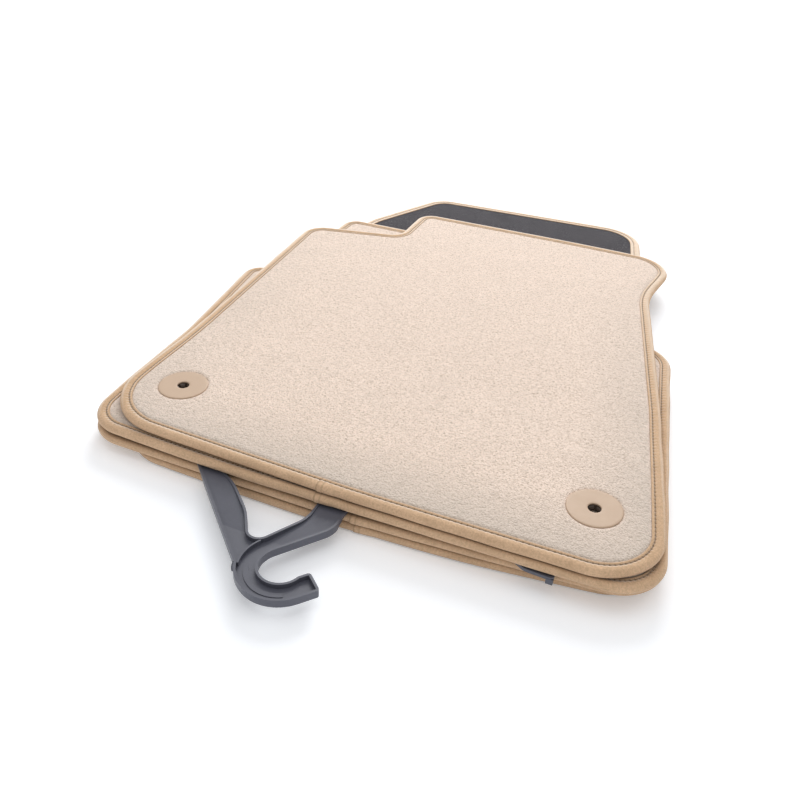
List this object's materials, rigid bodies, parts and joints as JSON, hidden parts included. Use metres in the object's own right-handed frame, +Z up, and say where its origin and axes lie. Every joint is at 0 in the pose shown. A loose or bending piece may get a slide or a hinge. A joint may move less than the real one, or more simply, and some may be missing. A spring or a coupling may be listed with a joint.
{
  "type": "floor mat set",
  "caption": "Stack of bound velour car floor mats with taped edges and floor-stud sockets, laid flat round a plastic hanger with an open hook.",
  "frame": {"origin": "on the ground under the stack, on the lowest mat's downward face, level with the middle of the sides", "axes": "+Z up out of the stack, +Y from the heel edges (where the hook stands out) to the far ends, +X to the right seen from the heel edges"},
  "size_m": [0.5451, 0.831, 0.0349],
  "materials": {
    "carpet": "matt cut-pile velour, beige",
    "backing": "matt charcoal heavy sheet",
    "binding": "matt suede-like tape, tan",
    "thread": "matt sewing thread, darker tan",
    "rosette": "satin moulded plastic, tan",
    "socket": "satin moulded plastic, black",
    "hanger": "satin moulded plastic, dark grey"
  },
  "bodies": {
    "passenger_mat": {"passenger_carpet": "carpet", "passenger_backing": "backing", "passenger_binding": "binding", "passenger_stitching": "thread", "passenger_left_rosette": "rosette", "passenger_left_socket": "socket", "passenger_left_base_ring": "socket", "passenger_right_rosette": "rosette", "passenger_right_socket": "socket", "passenger_right_base_ring": "socket"},
    "lower_rear_mat": {"lower_rear_carpet": "carpet", "lower_rear_backing": "backing", "lower_rear_binding": "binding", "lower_rear_stitching": "thread"},
    "hanger": {"hanger": "hanger"},
    "upper_rear_mat": {"upper_rear_carpet": "carpet", "upper_rear_backing": "backing", "upper_rear_binding": "binding", "upper_rear_stitching": "thread"},
    "driver_mat": {"driver_carpet": "carpet", "driver_backing": "backing", "driver_binding": "binding", "driver_stitching": "thread", "driver_left_rosette": "rosette", "driver_left_socket": "socket", "driver_left_base_ring": "socket", "driver_right_rosette": "rosette", "driver_right_socket": "socket", "driver_right_base_ring": "socket"}
  },
  "joints": [
    {"name": "lower_rear_mat_lift", "type": "slide", "parent": "passenger_mat", "child": "lower_rear_mat", "axis": [0, 0, 1], "range_m": [0, 0.12]},
    {"name": "hanger_draw", "type": "slide", "parent": "lower_rear_mat", "child": "hanger", "axis": [0, -1, 0], "range_m": [0, 0.15]},
    {"name": "upper_rear_mat_lift", "type": "slide", "parent": "lower_rear_mat", "child": "upper_rear_mat", "axis": [0, 0, 1], "range_m": [0, 0.12]},
    {"name": "driver_mat_lift", "type": "slide", "parent": "upper_rear_mat", "child": "driver_mat", "axis": [0, 0, 1], "range_m": [0, 0.12]}
  ]
}
